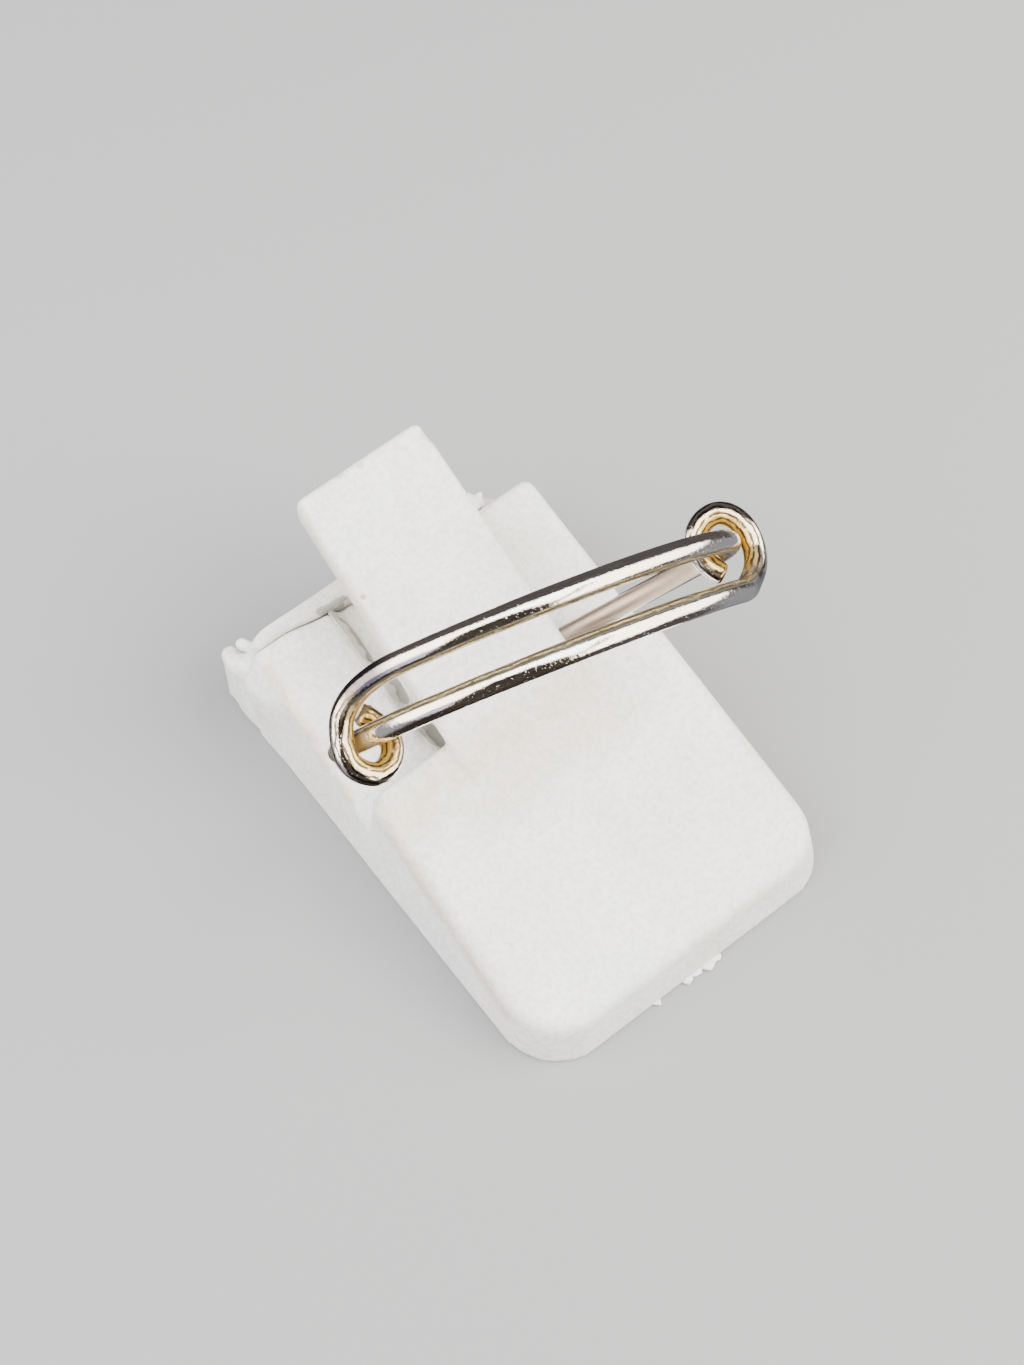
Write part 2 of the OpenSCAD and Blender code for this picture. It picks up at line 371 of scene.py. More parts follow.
@dataclass(frozen=True)
class PolishedSilver(Finish):
    """Polished silver wire: bright, drawn along its length, scratched; hooks gold from tarnish and painted
    reflection.
    """

    name: str = "polished_silver"
    metallic: float = 1.0
    bright: Triple = (0.93, 0.895, 0.835)
    # Hook colours: partly tarnish, partly painted reflection that the loops throw on each other.
    pale_tarnish_and_reflection: Triple = (0.74, 0.57, 0.25)
    deep_tarnish_and_reflection: Triple = (0.52, 0.325, 0.065)
    # Painted reflection on the bars' facing sides, with lighter painted lines along the grooves.
    between_reflection: Triple = (0.22, 0.18, 0.11)
    between_reflection_line: Triple = (0.72, 0.58, 0.34)
    # Painted shade on the shank's side that faces the finger.
    inside: Triple = (0.50, 0.40, 0.33)
    # Painted reflection of the dark surroundings, on the wire just beyond each hook.
    dark_reflection: Triple = (0.16, 0.148, 0.18)
    tarnish: Triple = (0.50, 0.42, 0.32)
    # Painted shadow in the grooves inside the hooks.
    seam: Triple = (0.055, 0.026, 0.007)
    cut: Triple = (0.60, 0.42, 0.20)
    polish: float = 0.06
    worn: float = 0.2
    draw_stretch: Triple = (0.35, 9.0, 9.0)
    draw_lines: Grain = Grain(1.0, 3.0, 0.6)
    scratch_turn: Triple = (25, 40, 10)
    scratch_stretch: Triple = (9.0, 0.7, 9.0)
    scratches: Grain = Grain(1.0, 2.0, 0.55)
    scuffs: Grain = Grain(1.1, 3.0, 0.6)
    dents: Grain = Grain(2.6, 3.0, 0.6)
    pits: Grain = Grain(9.0, 2.0, 0.6)
    nick_scale: float = 1.3
    nick_patches: Grain = Grain(0.5)
    clouds: Grain = Grain(0.28, 4.0, 0.62, 0.4)
    grooves: int = 12
    fine_depth: float = 0.004
    pit_depth: float = 0.003
    dent_depth: float = 0.012
    cut_end: Fade = (0.64, 0.5)
    hook_end: Fade = (9.8, 8.9)
    hook_bend: Stretch = Stretch((6.2, 7.0), (8.9, 8.2))
    dark_reflection_part: Stretch = Stretch((7.9, 8.9), (11.8, 10.2))
    wrapped_part: Stretch = Stretch((31.6, 33.0), (37.4, 35.8))

    def dress(self, graph: Graph, shader: bpy.types.Node) -> None:
        """Feeds tarnish, painted shade and reflection, draw lines and scratches by the wire's own attributes.

        Args:
            graph: The material's graph.
            shader: Its shader.
        """
        wire, at = graph.attribute(Wire.PLACE), graph.place()
        _, across, over = graph.parts(wire)
        inward, hooked, from_end = graph.parts(graph.attribute(Wire.ZONE))
        loopward, between, shank = graph.parts(graph.attribute(Wire.FACE))
        lines = graph.grain(graph.stretch(wire, self.draw_stretch), self.draw_lines)
        scuffs, dents = graph.grain(at, self.scuffs), graph.grain(at, self.dents)
        nicked = graph.grain(at, self.nick_patches).ramp(0.5, 0.62)
        nicks = graph.cells(at, self.nick_scale).ramp(0.16, 0.05) * nicked
        around = over.angle(across) * (self.grooves / math.tau) + scuffs * 1.6
        groove = (around.fraction() - 0.5).size().ramp(0.30, 0.10) * dents.ramp(0.30, 0.42)

        hook = from_end.ramp(*self.hook_end)
        plain = 1 - hook
        # The strand wrapped inside the other hook: deep gold, partly tarnish and partly painted reflection.
        wrapped = self.wrapped_part.mask(from_end)
        dark_reflected = self.dark_reflection_part.mask(from_end) * between.ramp(0.5, 0.1)
        # Painted shade on the shank's finger side, away from the wrapped strand.
        shade = shank * inward.ramp(0.1, 0.6) * plain * (1 - wrapped)
        # Sides of the bars that face each other, which get a painted reflection.
        facing = between.ramp(0.28, 0.48) * plain
        # Sides that face their own hook's middle: deep gold, partly tarnish and partly painted
        # inter-reflection.
        hollow_tint = hook * loopward.ramp(-0.25, 0.5)
        flank = hooked * loopward.ramp(-0.7, -0.1)
        bend = self.hook_bend.mask(from_end) * loopward.ramp(-0.7, 0.0)

        colour = graph.colour(self.bright, self.tarnish, graph.grain(at, self.clouds).ramp(0.52, 0.74) * 0.25)
        # Painted reflection of the dark surroundings just beyond each hook, away from the other bar.
        colour = graph.colour(colour, self.dark_reflection, dark_reflected * 0.95)
        # Painted reflection and tarnish: the hooks turn gold, deepest inside their loops and on the wrapped
        # strand.
        colour = graph.colour(colour, self.pale_tarnish_and_reflection, hooked * loopward.ramp(-0.9, -0.1))
        colour = graph.colour(colour, self.deep_tarnish_and_reflection, hollow_tint)
        colour = graph.colour(colour, self.deep_tarnish_and_reflection, wrapped)
        # Painted reflection: brownish gold where the bars face each other, lighter along the grooves.
        colour = graph.colour(colour, self.between_reflection, facing)
        colour = graph.colour(colour, self.between_reflection_line, facing * groove)
        # Painted shade on the shank's finger side.
        colour = graph.colour(colour, self.inside, shade)
        # Painted shadow: dark lines in the grooves inside the hooks.
        colour = graph.colour(colour, self.seam, groove * hooked * 0.95)
        colour = graph.colour(colour, self.tarnish, nicks * 0.6)
        colour = graph.colour(colour, self.cut, from_end.ramp(*self.cut_end))
        graph.feed(shader.inputs["Base Color"], colour)

        # Less metallic on the hooks, their bends, the wrapped strand and the bars' facing sides, where colour
        # is painted.
        softened = (hollow_tint.most(wrapped) * 0.5).most(facing * 0.25).most(flank * 0.22).most(bend * 0.5)
        graph.feed(shader.inputs["Metallic"], 1 - softened)
        rough = self.polish + lines * 0.05 + scuffs.ramp(0.5, 0.75) * 0.08 + nicks * self.worn
        graph.feed(shader.inputs["Roughness"], rough + shade * 0.3)

        scratched = graph.grain(graph.place(self.scratch_turn, self.scratch_stretch), self.scratches)
        fine = graph.relief(lines, self.fine_depth)
        fine = graph.relief(scratched.ramp(0.62, 0.7), self.fine_depth, fine)
        fine = graph.relief(graph.grain(at, self.pits), self.pit_depth, fine)
        fine = graph.relief(dents, self.dent_depth, fine)
        graph.feed(shader.inputs["Normal"], graph.relief(scuffs, self.dent_depth, fine))


@dataclass(frozen=True)
class Speck:
    """A coloured speck in the plastic."""

    place: Triple
    reach: float
    tone: Triple


@dataclass(frozen=True)
class MouldedPlastic(Finish):
    """Matt white moulded plastic with a fine grain, faint warm mottling, dust, specks and painted shade."""

    name: str = "white_moulding"
    specular: float = 0.2
    white: Triple = (0.915, 0.90, 0.855)
    warm: Triple = (0.84, 0.79, 0.70)
    cool: Triple = (0.82, 0.83, 0.83)
    # Warm painted shade along the left edges, below the step and on the tongue's left side.
    warm_shade: Triple = (0.72, 0.56, 0.38)
    # Grey painted shade in the recess beside the tongue.
    recess_shade: Triple = (0.62, 0.615, 0.605)
    # Painted shadow in creases and along edges.
    crease_shadow: Triple = (0.30, 0.31, 0.26)
    dust: Triple = (0.46, 0.445, 0.41)
    rough: float = 0.42
    clouds: Grain = Grain(0.16, 4.0, 0.6, 0.3)
    mottle: Grain = Grain(0.9, 4.0, 0.65)
    ragged: Grain = Grain(2.6, 4.0, 0.7, 0.6)
    paper: Grain = Grain(3.4, 4.0, 0.7)
    pores: Grain = Grain(7.0, 3.0, 0.6)
    fleck_scale: float = 0.45
    fleck_patches: Grain = Grain(0.6)
    mottle_depth: float = 0.04
    paper_depth: float = 0.03
    pore_depth: float = 0.02
    specks: tuple[Speck, ...] = (
        Speck((-3.31, 8.08, 11.4), 0.19, (0.50, 0.22, 0.17)),
        Speck((-1.05, 12.79, 13.7), 0.32, (0.56, 0.55, 0.50)),
        Speck((0.01, 12.59, 13.77), 0.28, (0.55, 0.55, 0.54)),
    )

    def dress(self, graph: Graph, shader: bpy.types.Node) -> None:
        """Feeds mottling, painted shade and shadow, dust and specks, and the grain that roughens the surface.

        Args:
            graph: The material's graph.
            shader: Its shader.
        """
        at = graph.place()
        clouds, mottle = graph.grain(at, self.clouds), graph.grain(at, self.mottle)
        paper, pores = graph.grain(at, self.paper), graph.grain(at, self.pores)
        warm_shade, crease_shadow, recess_shade = graph.parts(graph.attribute(Moulding.TINT))
        dusty = paper.ramp(0.42, 0.62) * 0.3 + pores.ramp(0.46, 0.66) * 0.12
        # Painted shadow in creases and along edges, with ragged sides.
        crease_shaded = (crease_shadow * 1.3 + graph.grain(at, self.ragged) - 1.0).ramp(0.0, 0.5)
        flecked = graph.grain(at, self.fleck_patches).ramp(0.52, 0.6)
        flecks = graph.cells(at, self.fleck_scale).ramp(0.07, 0.03) * flecked

        colour = graph.colour(self.white, self.warm, clouds.ramp(0.42, 0.66) * 0.8)
        colour = graph.colour(colour, self.cool, clouds.ramp(0.46, 0.3) * 0.7)
        # Grey painted shade in the recess beside the tongue.
        colour = graph.colour(colour, self.recess_shade, recess_shade)
        # Warm painted shade along edges, below the step and on the tongue's left side, broken by mottling.
        colour = graph.colour(colour, self.warm_shade, warm_shade * mottle.ramp(0.2, 0.55))
        colour = graph.colour(colour, self.warm, mottle.ramp(0.5, 0.7) * 0.5)
        colour = graph.colour(colour, self.dust, dusty)
        colour = graph.colour(colour, self.crease_shadow, crease_shaded * 0.85)
        colour = graph.colour(colour, self.dust, flecks * 0.6)
        for speck in self.specks:
            colour = graph.colour(colour, speck.tone, graph.spot(at, speck.place, speck.reach) * 0.85)
        graph.feed(shader.inputs["Base Color"], colour)
        graph.feed(shader.inputs["Roughness"], self.rough + mottle.ramp(0.35, 0.7) * 0.14)

        fine = graph.relief(pores, self.pore_depth)
        fine = graph.relief(paper, self.paper_depth, fine)
        graph.feed(shader.inputs["Normal"], graph.relief(mottle, self.mottle_depth, fine))


@dataclass(frozen=True)
class FloorPaper(Finish):
    """Plain pale paper for the floor."""

    name: str = "floor_paper"
    specular: float = 0.1
    tone: Triple = (0.30, 0.30, 0.296)
    rough: float = 0.9

    def dress(self, graph: Graph, shader: bpy.types.Node) -> None:
        """Sets the paper's tone and roughness."""
        graph.feed(shader.inputs["Base Color"], self.tone)
        graph.feed(shader.inputs["Roughness"], self.rough)


# Measures that the pieces share


def clamp(value: float) -> float:
    """Returns a value held between 0 and 1."""
    return min(max(value, 0.0), 1.0)


def rise(value: float, low: float, high: float) -> float:
    """Returns 0 at low and 1 at high with a smooth rise between them. High may be below low."""
    share = clamp((value - low) / (high - low))
    return share * share * (3 - 2 * share)


def within(value: float, span: Fade) -> bool:
    """Returns whether a value lies between the two ends of a span."""
    return span[0] < value < span[1]


def from_line(at: Vector, line: Sequence[Vector]) -> float:
    """Returns the distance of a place from a line.

    Args:
        at: The place.
        line: The points that the line runs through.

    Returns:
        The least distance, in the points' unit.
    """
    least = math.inf
    for a, b in zip(line, line[1:]):
        share = clamp((at - a).dot(b - a) / (b - a).length_squared)
        least = min(least, (at - a.lerp(b, share)).length)
    return least


def settle(mesh: bpy.types.Mesh, name: str, finish: bpy.types.Material) -> bpy.types.Object:
    """Puts a finished mesh in the scene, in metres and with smooth shading.

    Args:
        mesh: A mesh in millimetres.
        name: The piece's name.
        finish: Its material.

    Returns:
        The piece's object, at the origin.
    """
    mesh.transform(Matrix.Scale(MM, 4))
    mesh.materials.clear()
    mesh.materials.append(finish)
    mesh.polygons.foreach_set("use_smooth", [True] * len(mesh.polygons))
    piece = bpy.data.objects.new(name, mesh)
    bpy.context.scene.collection.objects.link(piece)
    return piece


@dataclass(frozen=True)
class Zone:
    """A part of the stand with soft sides. Each axis has fades, from outside to inside."""

    x: tuple[Fade, ...] = ()
    y: tuple[Fade, ...] = ()
    z: tuple[Fade, ...] = ()

    def share(self, at: Vector) -> float:
        """Returns how far inside the zone a place is.

        Args:
            at: The place.

        Returns:
            1 well inside the zone and 0 outside it.
        """
        share = 1.0
        for value, fades in zip(at, (self.x, self.y, self.z)):
            for fade in fades:
                share *= rise(value, *fade)
        return share


@dataclass(frozen=True)
class Slope:
    """A plane that climbs towards the stand's back, by one place on it and its climb to the mm."""

    y: float
    z: float
    climb: float

    def height(self, y: float) -> float:
        """Returns how high the plane is at a distance along the stand."""
        return self.z + (y - self.y) * self.climb


# Ring


class End(Enum):
    """Which of the wire's two cut ends a distance is counted from."""

    FIRST = "left"
    LAST = "right"


@dataclass(frozen=True)
class Nudge:
    """A small unevenness in the wire's run, by its distance from one end."""

    end: End
    distance: float
    reach: float
    offset: Triple


@dataclass
class Wire:
    """The ring: one round silver wire whose two ends are hooked round each other's strand."""

    PLACE = "wire_place"
    ZONE = "wire_zone"
    FACE = "wire_face"

    wire_d: float = 1.04
    hoop_r: float = 9.7
    bar_lift: float = 1.15
    shank_lean: float = 1.1
    hook_at: float = 75.0
    bend_at: float = 50.0
    loop_out: float = 1.14
    loop_in: float = 1.34
    loop_long: float = 1.58
    hook_turn: float = 256.0
    hook_pitch: float = 3.0
    handle_lift: float = 0.6
    handle_turn: float = 9.0
    handle_out: float = 0.1
    centre: Triple = (0.52, 0.2, 14.08)
    turn: Triple = (20.2, 9.8, -11.1)
    sides: int = 48
    hook_rings: int = 40
    bend_rings: int = 22
    bar_rings: int = 96
    first_side: Triple = (0.0, 1.0, 0.3)
    trim: float = 0.4
    cut_round: float = 0.09
    cut_ease: float = 0.16
    nudges: tuple[Nudge, ...] = (
        Nudge(End.FIRST, 0.8, 2.4, (-0.34, -0.06, -0.29)),
        Nudge(End.LAST, 0.9, 2.3, (0.28, 0.17, 0.09)),
        Nudge(End.FIRST, 5.7, 1.4, (-0.157, 0.075, -0.016)),
        Nudge(End.LAST, 9.3, 2.6, (-0.166, 0.129, 0.0)),
    )
    hook_fade: Fade = (9.6, 8.0)
    front_fade: Fade = (-1.0, 2.0)
    shank_fade: Fade = (1.5, -0.5)
    upper_shift: float = 0.3

    def tilt(self) -> Matrix:
        """Returns the turn from the hoop's own frame to the stand's."""
        return Euler([math.radians(a) for a in self.turn], "XYZ").to_matrix()

    def on_hoop(self, turn: float, reach: float, lift: float) -> Vector:
        """Returns a place on the hoop from its turn in degrees, reach and lift."""
        angle = math.radians(turn)
        return Vector((reach * math.sin(angle), lift, reach * math.cos(angle)))

    def strand_lift(self, turn: float) -> float:
        """Returns how far the strand lies from the hoop's middle plane.

        Args:
            turn: Where on the hoop, in degrees from its top.

        Returns:
            The distance along the finger.
        """
        if turn > 90:
            return self.shank_lean * math.sin(math.radians(turn))
        return self.bar_lift + (self.shank_lean - self.bar_lift) * (max(turn, 0) / 90) ** 2

    def hook_point(self, share: float) -> Vector:
        """Returns a point of the hook.

        Args:
            share: How far along it is, from the cut end at 0 to the hook's outer side at 1.

        Returns:
            The point, in the hoop's own frame.
        """
        around = math.radians(-self.hook_turn * (1 - share))
        turn = -self.hook_at + self.hook_pitch * (share - 1)
        loop = self.loop_out if math.cos(around) > 0 else self.loop_in
        lift = -self.strand_lift(self.hook_at) + self.loop_long * math.sin(around)
        return self.on_hoop(turn, self.hoop_r + loop * math.cos(around), lift)

    def bend_point(self, share: float) -> Vector:
        """Returns a point of the bend from the hook up into the bar, on a cubic curve.

        Args:
            share: How far along it is, from 0 at the hook to 1 at the bar.

        Returns:
            The point, in the hoop's own frame.
        """
        out = self.hoop_r + self.loop_out
        start = Vector((-self.hook_at, out, -self.strand_lift(self.hook_at)))
        climb = Vector((-self.hook_at, out, self.handle_lift))
        run = Vector((-self.hook_at + self.handle_turn, self.hoop_r + self.handle_out, self.bar_lift))
        end = Vector((-self.bend_at, self.hoop_r, self.bar_lift))
        t, u = share, 1 - share
        return self.on_hoop(*(u**3 * start + 3 * u * u * t * climb + 3 * u * t * t * run + t**3 * end))

    def bar_point(self, share: float) -> Vector:
        """Returns a point of the front bar and of half the shank behind it."""
        turn = -self.bend_at + share * (180 + self.bend_at)
        return self.on_hoop(turn, self.hoop_r, self.strand_lift(turn))

    def path(self) -> list[Vector]:
        """Works out the whole wire's centre line.

        Returns:
            Its points, from one cut end to the other.
        """
        half = [self.hook_point(i / self.hook_rings) for i in range(self.hook_rings)]
        half += [self.bend_point(i / self.bend_rings) for i in range(self.bend_rings)]
        half += [self.bar_point(i / self.bar_rings) for i in range(self.bar_rings + 1)]
        other = [Vector((-p.x, -p.y, p.z)) for p in reversed(half[:-1])]
        tilt = self.tilt()
        return self.nudged([tilt @ p + Vector(self.centre) for p in half + other])

    def lengths(self, path: Sequence[Vector]) -> list[float]:
        """Measures along a path.

        Args:
            path: Its points.

        Returns:
            How far along it each point is.
        """
        rows = [0.0]
        for a, b in zip(path, path[1:]):
            rows.append(rows[-1] + (b - a).length)
        return rows

    def nudged(self, path: Sequence[Vector]) -> list[Vector]:
        """Gives a path its small unevennesses.

        Args:
            path: The even path's points.

        Returns:
            The moved points.
        """
        lengths = self.lengths(path)
        moved = list(path)
        for nudge in self.nudges:
            middle = nudge.distance if nudge.end is End.FIRST else lengths[-1] - nudge.distance
            for i, along in enumerate(lengths):
                moved[i] = moved[i] + Vector(nudge.offset) * rise(abs(along - middle), nudge.reach, 0.0)
        return moved

    def stations(self) -> list[tuple[Matrix, float]]:
        """Works out the wire's sections, with its ends trimmed and eased.

        Returns:
            Each section's frame, with how far along the wire it is.
        """
        path = self.path()
        last = len(path) - 1
        lengths = self.lengths(path)
        kept = [i for i, along in enumerate(lengths) if self.trim <= along <= lengths[last] - self.trim]
        start, end = lengths[kept[0]], lengths[kept[-1]]
        rows, side = [], None
        for i in kept:
            along = (path[min(i + 1, last)] - path[max(i - 1, 0)]).normalized()
            side = along.cross(Vector(self.first_side)) if side is None else side - along * side.dot(along)
            side.normalize()
            up = along.cross(side)
            from_cut = min(lengths[i] - start, end - lengths[i], self.cut_round)
            radius = self.wire_d / 2 * self.eased(from_cut)
            turned = Matrix((side * radius, up * radius, along)).transposed().to_4x4()
            rows.append((Matrix.Translation(path[i]) @ turned, lengths[i]))
        return rows

    def eased(self, distance: float) -> float:
        """Returns the share of the full radius at a distance from a cut end."""
        left = 1 - distance / self.cut_round
        return 1 - self.cut_ease * left * left

    def mesh(self) -> bpy.types.Mesh:
        """Sweeps the wire by extruding its end face from station to station.

        Returns:
            The wire's mesh, in millimetres.
        """
        bm = bmesh.new()
        place, _, _ = (bm.verts.layers.float_vector.new(n) for n in (self.PLACE, self.ZONE, self.FACE))
        stations = self.stations()
        first, start = stations[0]
        bmesh.ops.create_circle(bm, cap_ends=True, segments=self.sides, radius=1.0, matrix=first)
        self.mark(bm.verts, first, start, place)
        end = bm.faces[:]
        before = first
        for here, along in stations[1:]:
            end = bmesh.ops.extrude_discrete_faces(bm, faces=end)["faces"]
            verts = list(end[0].verts)
            bmesh.ops.transform(bm, matrix=here @ before.inverted(), verts=verts)
            self.mark(verts, here, along, place)
            before = here
        bmesh.ops.holes_fill(bm, edges=[e for e in bm.edges if e.is_boundary])
        bmesh.ops.recalc_face_normals(bm, faces=bm.faces)
        self.mark_zones(bm, stations[0][1] + stations[-1][1])
        made = bpy.data.meshes.new("ring_wire")
        bm.to_mesh(made)
        bm.free()
        return made

    def mark(self, verts: Iterable, here: Matrix, along: float, place: bmesh.types.BMLayerItem) -> None:
        """Stores on each corner how far along and where round the wire it is.

        Args:
            verts: The corners of one section.
            here: The section's frame.
            along: How far along the wire it is.
            place: Where that is stored.
        """
        back = here.inverted()
        for v in verts:
            local = back @ v.co
            v[place] = Vector((along, local.x, local.y))

    def mark_zones(self, bm: bmesh.types.BMesh, length: float) -> None:
        """Stores on each corner what its finish depends on.

        That is how far it faces the finger, how near a hook it is and how far from the nearer end,
        and then how far it faces its hook's middle, how far it faces the other bar, and whether it
        is on the shank. The ends are the path's own, just past the cuts. The upper bar shows less
        of the side that faces the other one.

        Args:
            bm: The wire, with its places marked.
            length: The wire's whole length before its ends are trimmed.
        """
        place, zone, face = (bm.verts.layers.float_vector[n] for n in (self.PLACE, self.ZONE, self.FACE))
        back = self.tilt().inverted()
        middle = self.on_hoop(-self.hook_at, self.hoop_r, -self.strand_lift(self.hook_at))
        bm.normal_update()
        for v in bm.verts:
            at, facing = back @ (v.co - Vector(self.centre)), back @ v.normal
            inward = -at.normalized().dot(facing)
            from_end = min(v[place].x, length - v[place].x)
            near = middle if at.x < 0 else Vector((-middle.x, -middle.y, middle.z))
            loopward = (near - at).normalized().dot(facing)
            between = -facing.y - self.upper_shift if at.y > 0 else facing.y
            v[zone] = Vector((inward, rise(from_end, *self.hook_fade), from_end))
            v[face] = Vector((loopward, between * rise(at.z, *self.front_fade), rise(at.z, *self.shank_fade)))

    def build(self, finish: bpy.types.Material) -> bpy.types.Object:
        """Builds the ring and puts it in the CAD ring's place.

        Args:
            finish: The ring's material.

        Returns:
            The ring's object.
        """
        piece = settle(self.mesh(), "silver_wire", finish)
        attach(piece, "root")
        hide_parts("ring")
        return piece


# Stand


@dataclass(frozen=True)
class Lump:
    """A round lump of plastic."""

    place: Triple
    radius: float


@dataclass(frozen=True)
class Post:
    """A round post of plastic from its foot to its head."""

    foot: Triple
    head: Triple
    radius: float


@dataclass(frozen=True)
class Burr:
    """A ragged scrap of flash, with half its length, depth and height."""

    place: Triple
    size: Triple


@dataclass
class ShadeLine:
    """A soft line of painted shade. Its core is the share of its reach where it is strongest."""

    reach: float
    amount: float
    line: Sequence[Triple]
    core: float = 0.0

    def __post_init__(self) -> None:
        """Turns the line's places into vectors once."""
        self.line = [Vector(place) for place in self.line]

    def share(self, at: Vector) -> float:
        """Returns how much painted shade a place gets."""
        return self.amount * rise(from_line(at, self.line), self.reach, self.core * self.reach)


@dataclass(frozen=True)
class Seam:
    """The seam between the stand's two mouldings, which bends at the left ear and opens inwards."""

    kink: float = 10.57
    front: Fade = (8.9, 10.5)
    back: float = 11.45
    back_run: float = 0.88
    ear: Zone = Zone(x=((-3.95, -6.6),), z=((3.4, 5.2),))
    depth: float = 0.42
    open_from: tuple[float, float] = (-8.7, 4.6)
    open_run: tuple[float, float] = (4.5, 1.2)
    closed: float = 0.015
    opening: float = 0.085

    def shift(self, at: Vector) -> float:
        """Returns how far back the seam runs from its straight line.

        Args:
            at: A place on either moulding.

        Returns:
            The distance that the place moves back.
        """
        if at.y < self.kink:
            along = rise(at.y, *self.front)
        else:
            along = clamp((self.back - at.y) / self.back_run)
        return self.depth * along * self.ear.share(at)

    def width(self, at: Vector) -> float:
        """Returns the seam's width: closed at the left side, open by the tongue.

        Args:
            at: A place beside the seam.

        Returns:
            The width there.
        """
        across = clamp((at.x - self.open_from[0]) / self.open_run[0])
        height = clamp((at.z - self.open_from[1]) / self.open_run[1])
        return self.closed + self.opening * across * height


@dataclass
class Moulding:
    """One moulded plastic piece of the stand, with a fine skin over its CAD solid."""

    TINT = "moulding_tint"

    node: str
    name: str
    grain: float = 0.15
    relax: int = 3
    merge: float = 0.0005
    post_sides: int = 24
    ball_cuts: int = 3
    burr_pitch: float = 4.0
    burr_rough: float = 0.09
    burr_floor: float = 0.01
    burr_seed: int = 7
    seam: Seam = Seam()
    # The recess beside the tongue gets grey painted shade.
    recess: Zone = Zone(x=((4.4, 3.9), (-4.4, -3.9)), y=((1.6, 2.2),), z=((6.0, 3.5),))
    recess_shade_share: float = 0.08
    lumps: tuple[Lump, ...] = ()
    posts: tuple[Post, ...] = ()
    flash: tuple[Burr, ...] = ()
    warm_shades: tuple[ShadeLine, ...] = ()
    crease_shadow: tuple[ShadeLine, ...] = ()

    def solid(self) -> bpy.types.Mesh:
        """Copies and merges the CAD solid and adds the lumps and posts to it.

        Returns:
            The copy, in millimetres.
        """
        bm = bmesh.new()
        bm.from_mesh(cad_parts[self.node].data)
        bmesh.ops.scale(bm, vec=(1 / MM,) * 3, verts=bm.verts)
        bmesh.ops.remove_doubles(bm, verts=bm.verts, dist=self.merge)
        for lump in self.lumps:
            there = Matrix.Translation(lump.place)
            bmesh.ops.create_icosphere(bm, subdivisions=self.ball_cuts, radius=lump.radius, matrix=there)
        for post in self.posts:
            self.post(bm, post)
        copy = bpy.data.meshes.new(self.name + "_solid")
        bm.to_mesh(copy)
        bm.free()
        return copy

    def post(self, bm: bmesh.types.BMesh, post: Post) -> None:
        """Adds a round post.

        Args:
            bm: The moulding.
            post: The post's ends and radius.
        """
        foot, head = Vector(post.foot), Vector(post.head)
        turned = (head - foot).to_track_quat("Z", "Y").to_matrix().to_4x4()
        bmesh.ops.create_cone(
            bm,
            cap_ends=True,
            segments=self.post_sides,
            radius1=post.radius,
            radius2=post.radius,
            depth=(head - foot).length,
            matrix=Matrix.Translation((foot + head) / 2) @ turned,
        )

    def skin(self, solid: bpy.types.Mesh) -> bpy.types.Mesh:
        """Covers a solid with an even skin of small faces, relaxes its edges and shapes it.

        Args:
            solid: The merged solid, which the skin uses up.

        Returns:
            The finished mesh, in millimetres.
        """
        carrier = bpy.data.objects.new(self.name + "_carrier", solid)
        bpy.context.scene.collection.objects.link(carrier)
        remesh = carrier.modifiers.new("skin", "REMESH")
        remesh.mode = "VOXEL"
        remesh.voxel_size = self.grain
        depsgraph = bpy.context.evaluated_depsgraph_get()
        covered = bpy.data.meshes.new_from_object(carrier.evaluated_get(depsgraph))
        bpy.data.objects.remove(carrier)
        bm = bmesh.new()
        bm.from_mesh(covered)
        bpy.data.meshes.remove(covered)
        self.smooth(bm, bm.verts[:], self.relax)
        self.shape(bm)
        noise.seed_set(self.burr_seed)
        for burr in self.flash:
            self.burr(bm, burr)
        self.tint(bm)
        made = bpy.data.meshes.new(self.name)
        bm.to_mesh(made)
        bm.free()
        return made

    def smooth(self, bm: bmesh.types.BMesh, verts: Sequence, rounds: int) -> None:
        """Relaxes some corners.

        Args:
            bm: The moulding.
            verts: The corners.
            rounds: How often they are relaxed.
        """
        for _ in range(rounds):
            bmesh.ops.smooth_vert(
                bm, verts=verts, factor=0.5, use_axis_x=True, use_axis_y=True, use_axis_z=True
            )

    def burr(self, bm: bmesh.types.BMesh, burr: Burr) -> None:
        """Adds a ragged scrap of flash.

        Args:
            bm: The moulding.
            burr: The scrap's place and size.
        """
        there = Matrix.Translation(burr.place) @ Matrix.Diagonal((*burr.size, 1.0))
        ball = bmesh.ops.create_icosphere(bm, subdivisions=self.ball_cuts, radius=1.0, matrix=there)
        for v in ball["verts"]:
            v.co += noise.noise_vector(v.co * self.burr_pitch) * self.burr_rough
            v.co.z = max(v.co.z, self.burr_floor)

    def shape(self, bm: bmesh.types.BMesh) -> None:
        """Adds what a moulding has of its own. A plain one has nothing."""

    def warm_shade_at(self, v: bmesh.types.BMVert) -> float:
        """Returns a corner's warm painted shade apart from that of the shade lines."""
        return 0.0

    def tint(self, bm: bmesh.types.BMesh) -> None:
        """Stores on each corner its warm painted shade, painted shadow in creases and grey painted shade in
        the recess.

        Args:
            bm: The shaped moulding.
        """
        layer = bm.verts.layers.float_vector.new(self.TINT)
        bm.normal_update()
        for v in bm.verts:
            warm_shade = max((shade_line.share(v.co) for shade_line in self.warm_shades), default=0.0)
            shadow = max((shade_line.share(v.co) for shade_line in self.crease_shadow), default=0.0)
            recess_shade = self.recess.share(v.co) * self.recess_shade_share
            v[layer] = Vector((max(warm_shade, self.warm_shade_at(v)), shadow, recess_shade))

    def build(self, finish: bpy.types.Material) -> bpy.types.Object:
        """Builds the piece and puts it in its CAD solid's place.

        Args:
            finish: The piece's material.

        Returns:
            The piece's object.
        """
        piece = settle(self.skin(self.solid()), self.name, finish)
        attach(piece, "root")
        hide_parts(self.node)
        return piece


